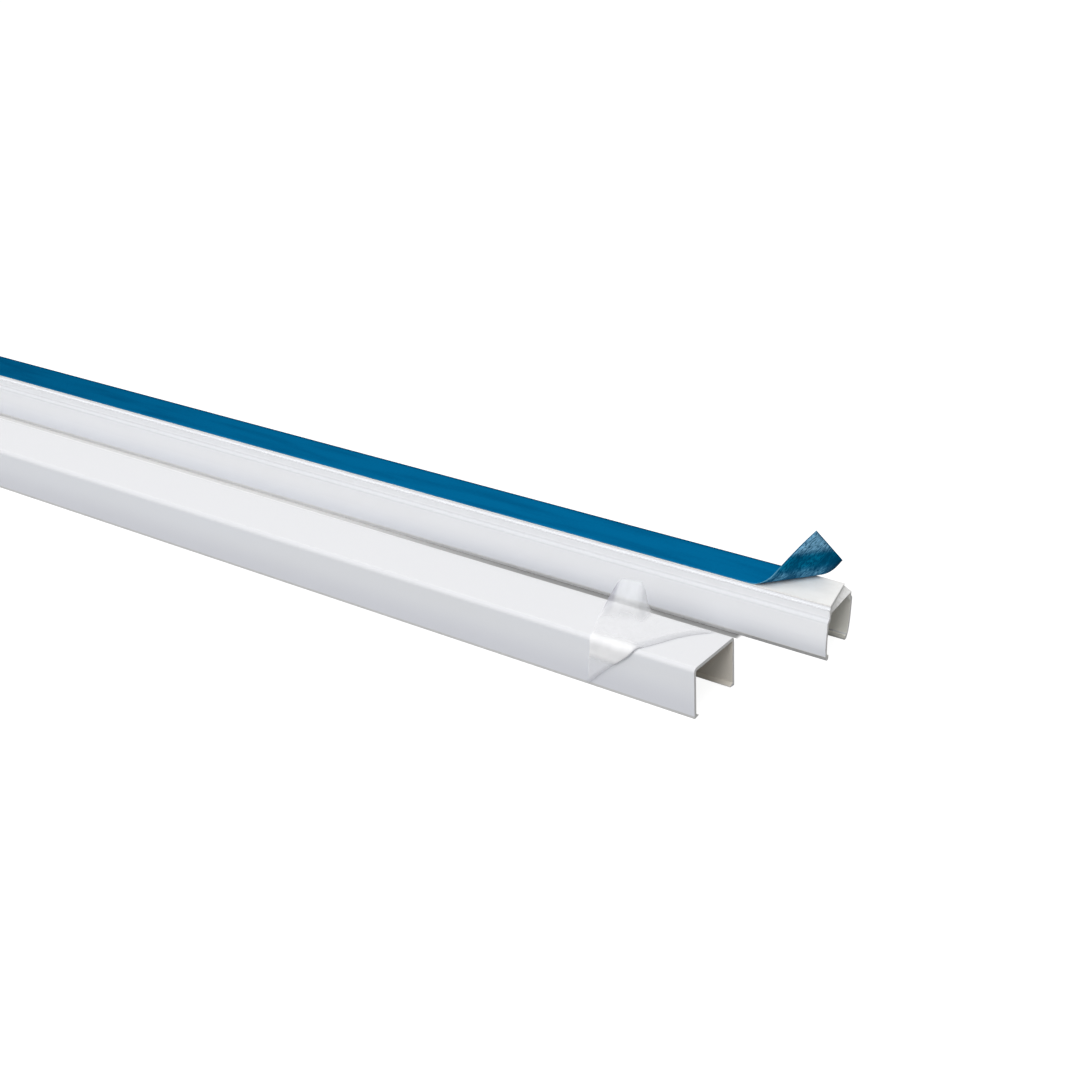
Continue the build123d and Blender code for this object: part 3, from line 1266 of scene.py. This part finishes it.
@dataclass(frozen=True)
class CoverHalf:
    """The cover channel with its protective film."""

    layout: Layout
    plastic: ExtrudedPlastic = ExtrudedPlastic(
        "cover_plastic",
        (Hollow(10.25, 0.4, 14.4),),
        # A taller band of painted shade at the foot.
        foot_height=1.0,
    )

    def build(self) -> None:
        """Dress the channel and fold the film round it."""
        dress("cover_channel", self.plastic.material(self.layout.cover.middle(Y)))
        Film(self.layout).build()


@dataclass(frozen=True)
class Lamp:
    """A soft square lamp that looks at the object, in degrees, metres and watts."""

    name: str
    azimuth: float
    elevation: float
    distance: float
    size: float
    power: float


@dataclass(frozen=True)
class Studio:
    """The plain floor, the soft lights and the camera, in metres and degrees."""

    aim: tuple[float, float, float] = (0.092906, 0.038333, 0.0)
    azimuth: float = 33.653
    elevation: float = 25.201
    distance: float = 0.52082
    lens: float = 51.0
    sensor: float = 36.0
    nearest: float = 0.01
    floor_size: float = 40.0
    room_light: float = 0.4
    lamps: tuple[Lamp, ...] = (
        Lamp("top_lamp", 10.0, 80.0, 1.6, 1.4, 10.0),
        Lamp("front_lamp", 5.0, 42.0, 1.8, 1.2, 20.0),
    )

    def build(self) -> None:
        """Put up the camera, the floor and the lights."""
        self.build_camera()
        self.build_floor()
        self.build_world()
        for lamp in self.lamps:
            self.build_lamp(lamp)

    def point(
        self,
        item: bpy.types.Object,
        aim: Vector,
        azimuth: float,
        elevation: float,
        distance: float,
    ) -> None:
        """Put a camera or a lamp at a place round the object, and turn it to its aim.

        Args:
            item: The camera or the lamp.
            aim: The point that it looks at.
            azimuth: Its turn round that point in degrees, with 0 at the front.
            elevation: Its height above the floor in degrees.
            distance: Its distance from the point, in metres.
        """
        turn, rise = math.radians(azimuth), math.radians(elevation)
        level = math.cos(rise)
        back = Vector((math.sin(turn) * level, -math.cos(turn) * level, math.sin(rise)))
        item.location = aim + back * distance
        item.rotation_euler = (-back).to_track_quat("-Z", "Y").to_euler()
        bpy.context.scene.collection.objects.link(item)

    def build_camera(self) -> None:
        """Set the camera at the photograph's angle."""
        data = bpy.data.cameras.new("camera")
        data.lens = self.lens
        data.sensor_width = self.sensor
        data.clip_start = self.nearest
        camera = bpy.data.objects.new("camera", data)
        self.point(camera, Vector(self.aim), self.azimuth, self.elevation, self.distance)
        bpy.context.scene.camera = camera

    def build_floor(self) -> None:
        """Lay the pale floor, which shows white and keeps the object's shadow."""
        mesh = bmesh.new()
        bmesh.ops.create_grid(mesh, x_segments=1, y_segments=1, size=self.floor_size / 2)
        floor = as_object("floor", mesh)
        floor.data.materials.append(FloorPaint().material())

    def build_world(self) -> None:
        """Light the room softly from all round, and show it white."""
        world = bpy.data.worlds.new("room")
        bpy.context.scene.world = world
        room = Graph(world, "ShaderNodeOutputWorld")
        strength = self.room_light + room.seen() * (1.0 - self.room_light)
        sockets = {"Color": (1.0, 1.0, 1.0), "Strength": strength}
        lit = room.node("ShaderNodeBackground", None, sockets)
        room.link(lit.outputs[0], room.output.inputs["Surface"])

    def build_lamp(self, lamp: Lamp) -> None:
        """Hang one lamp.

        Args:
            lamp: The lamp.
        """
        data = bpy.data.lights.new(lamp.name, "AREA")
        data.shape = "SQUARE"
        data.size = lamp.size
        data.energy = lamp.power
        item = bpy.data.objects.new(lamp.name, data)
        self.point(item, Vector(), lamp.azimuth, lamp.elevation, lamp.distance)


def as_object(name: str, mesh: bmesh.types.BMesh) -> bpy.types.Object:
    """Turn a bmesh into an object that sits at the origin.

    Args:
        name: The object's name.
        mesh: The bmesh, which is freed.

    Returns:
        The object, linked to the scene.
    """
    data = bpy.data.meshes.new(name)
    mesh.to_mesh(data)
    mesh.free()
    made = bpy.data.objects.new(name, data)
    bpy.context.scene.collection.objects.link(made)
    return made


def flat_sheet(low: Span, high: Span, rows: int = 1) -> bmesh.types.BMesh:
    """Start a flat rectangle.

    Args:
        low: Its lowest corner.
        high: Its highest corner.
        rows: How many rows of faces it has across.

    Returns:
        The rectangle, at height 0.
    """
    mesh = bmesh.new()
    bmesh.ops.create_grid(mesh, x_segments=1, y_segments=rows, size=0.5, calc_uvs=False)
    long, wide = high[0] - low[0], high[1] - low[1]
    middle = (low[0] + long / 2, low[1] + wide / 2, 0.0)
    bmesh.ops.scale(mesh, vec=(long, wide, 1.0), verts=mesh.verts)
    bmesh.ops.translate(mesh, vec=middle, verts=mesh.verts)
    return mesh


def trim(mesh: bmesh.types.BMesh, place: Vector, normal: Vector, drop: bool = False) -> None:
    """Cut a mesh along a plane.

    Args:
        mesh: The mesh.
        place: A point of the plane.
        normal: The plane's direction.
        drop: Whether the side that the normal points to goes away.
    """
    bmesh.ops.bisect_plane(
        mesh,
        geom=[*mesh.verts, *mesh.edges, *mesh.faces],
        dist=CUT_TOLERANCE,
        plane_co=place,
        plane_no=normal,
        clear_outer=drop,
    )


def keep_sheet(mesh: bmesh.types.BMesh) -> None:
    """Keep the flat sheet's coordinates, in metres, as the mesh's map.

    Args:
        mesh: The flat mesh in millimetres.
    """
    layer = mesh.loops.layers.uv.new(SHEET_MAP)
    for face in mesh.faces:
        for loop in face.loops:
            loop[layer].uv = loop.vert.co.to_2d() * MM


def bend(mesh: bmesh.types.BMesh, place: Callable[[Vector], Vector]) -> None:
    """Move each point of a flat mesh from millimetres to its place in metres, and smooth it.

    Args:
        mesh: The flat mesh.
        place: What gives a point's place in millimetres.
    """
    for vert in mesh.verts:
        vert.co = place(vert.co) * MM
    for face in mesh.faces:
        face.smooth = True


def stand_in(piece: bpy.types.Object, node: str) -> None:
    """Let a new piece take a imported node's place.

    Args:
        piece: The new piece.
        node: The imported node's name.
    """
    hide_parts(node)
    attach(piece, ROOT_BODY)
    log.info("%s replaces %s with %d faces", piece.name, node, len(piece.data.polygons))


def dress(node: str, material: bpy.types.Material) -> None:
    """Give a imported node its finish.

    Args:
        node: The node's name.
        material: The material that all of its faces get.
    """
    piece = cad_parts[node]
    piece.data.materials.clear()
    piece.data.materials.append(material)
    log.info("dressed %s in %s", node, material.name)


def main() -> None:
    """Build the scene's pieces in order."""
    logging.basicConfig(level=logging.INFO, format="%(name)s: %(message)s")
    bpy.context.scene.view_settings.view_transform = "Standard"
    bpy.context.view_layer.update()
    Studio().build()
    layout = Layout()
    BaseHalf(layout).build()
    CoverHalf(layout).build()


if __name__ == "__main__":
    main()
